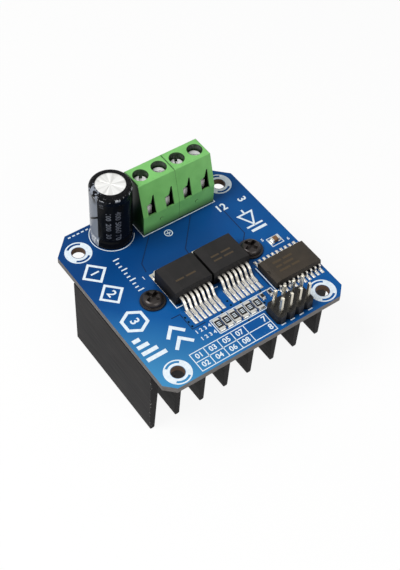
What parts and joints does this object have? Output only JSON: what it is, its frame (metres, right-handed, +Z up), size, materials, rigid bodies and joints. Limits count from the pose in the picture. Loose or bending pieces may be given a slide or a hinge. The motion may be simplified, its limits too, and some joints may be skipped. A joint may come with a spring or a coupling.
{
  "type": "dc motor driver module",
  "caption": "Square circuit board on a finned heatsink, with screw terminals, a capacitor, power chips and a pin header.",
  "frame": {"origin": "under the middle of the board, on the plane of the heatsink's fin tips", "axes": "+X along the front edge that carries the pin header, +Y to the edge that takes the wires, +Z up through the board"},
  "size_m": [0.05, 0.05, 0.0401],
  "materials": {
    "heatsink_black": "black anodised extrusion",
    "pad_grey": "filled silicone sheet",
    "board_blue": "glass epoxy board with blue solder mask",
    "terminal_green": "moulded nylon",
    "plated_steel": "zinc plated",
    "plated_brass": "tin plated",
    "chip_black": "moulded epoxy",
    "tinned_copper": "tin plated copper",
    "can_aluminium": "drawn can",
    "sleeve_black": "shrink sleeve",
    "bung_rubber": "moulded",
    "header_black": "moulded",
    "pin_metal": "tin plated",
    "screw_black": "black oxide",
    "resistor_black": "glazed ceramic",
    "capacitor_tan": "fired ceramic",
    "solder_tin": "solder"
  },
  "bodies": {
    "module": {"heatsink": "heatsink_black", "thermal_pad": "pad_grey", "circuit_board": "board_blue", "terminal_housing_left": "terminal_green", "terminal_housing_right": "terminal_green", "terminal_contact_1": "plated_brass", "terminal_contact_2": "plated_brass", "terminal_contact_3": "plated_brass", "terminal_contact_4": "plated_brass", "power_chip_left_body": "chip_black", "power_chip_right_body": "chip_black", "logic_chip_body": "chip_black", "power_chip_left_legs": "tinned_copper", "power_chip_right_legs": "tinned_copper", "power_chip_left_tab": "tinned_copper", "power_chip_right_tab": "tinned_copper", "logic_chip_legs": "tinned_copper", "capacitor_leads": "tinned_copper", "capacitor_can": "can_aluminium", "capacitor_sleeve": "sleeve_black", "capacitor_bung": "bung_rubber", "header_base": "header_black", "header_pins": "pin_metal", "heatsink_screw_left": "screw_black", "heatsink_screw_right": "screw_black", "chip_resistor_bodies": "resistor_black", "chip_capacitor_body": "capacitor_tan", "chip_resistor_ends": "solder_tin", "chip_capacitor_ends": "solder_tin"},
    "screw_1": {"terminal_screw_1": "plated_steel"},
    "cage_1": {"terminal_cage_1": "plated_steel"},
    "screw_2": {"terminal_screw_2": "plated_steel"},
    "cage_2": {"terminal_cage_2": "plated_steel"},
    "screw_3": {"terminal_screw_3": "plated_steel"},
    "cage_3": {"terminal_cage_3": "plated_steel"},
    "screw_4": {"terminal_screw_4": "plated_steel"},
    "cage_4": {"terminal_cage_4": "plated_steel"}
  },
  "joints": [
    {"name": "screw_1_turn", "type": "hinge", "parent": "module", "child": "screw_1", "pos_m": [-0.00202, 0.02025, 0.0331], "axis": [0, 0, -1], "range_deg": [0, 1840.5]},
    {"name": "cage_1_rise", "type": "slide", "parent": "module", "child": "cage_1", "axis": [0, 0, 1], "range_m": [0, 0.0023]},
    {"name": "screw_2_turn", "type": "hinge", "parent": "module", "child": "screw_2", "pos_m": [0.00306, 0.02025, 0.0331], "axis": [0, 0, -1], "range_deg": [0, 1840.5]},
    {"name": "cage_2_rise", "type": "slide", "parent": "module", "child": "cage_2", "axis": [0, 0, 1], "range_m": [0, 0.0023]},
    {"name": "screw_3_turn", "type": "hinge", "parent": "module", "child": "screw_3", "pos_m": [0.00814, 0.02025, 0.0331], "axis": [0, 0, -1], "range_deg": [0, 1840.5]},
    {"name": "cage_3_rise", "type": "slide", "parent": "module", "child": "cage_3", "axis": [0, 0, 1], "range_m": [0, 0.0023]},
    {"name": "screw_4_turn", "type": "hinge", "parent": "module", "child": "screw_4", "pos_m": [0.01322, 0.02025, 0.0331], "axis": [0, 0, -1], "range_deg": [0, 1840.5]},
    {"name": "cage_4_rise", "type": "slide", "parent": "module", "child": "cage_4", "axis": [0, 0, 1], "range_m": [0, 0.0023]}
  ],
  "couplings": [
    {"joint": "screw_1_turn", "follows": "cage_1_rise", "rad_per_m": 13963},
    {"joint": "screw_2_turn", "follows": "cage_2_rise", "rad_per_m": 13963},
    {"joint": "screw_3_turn", "follows": "cage_3_rise", "rad_per_m": 13963},
    {"joint": "screw_4_turn", "follows": "cage_4_rise", "rad_per_m": 13963}
  ]
}
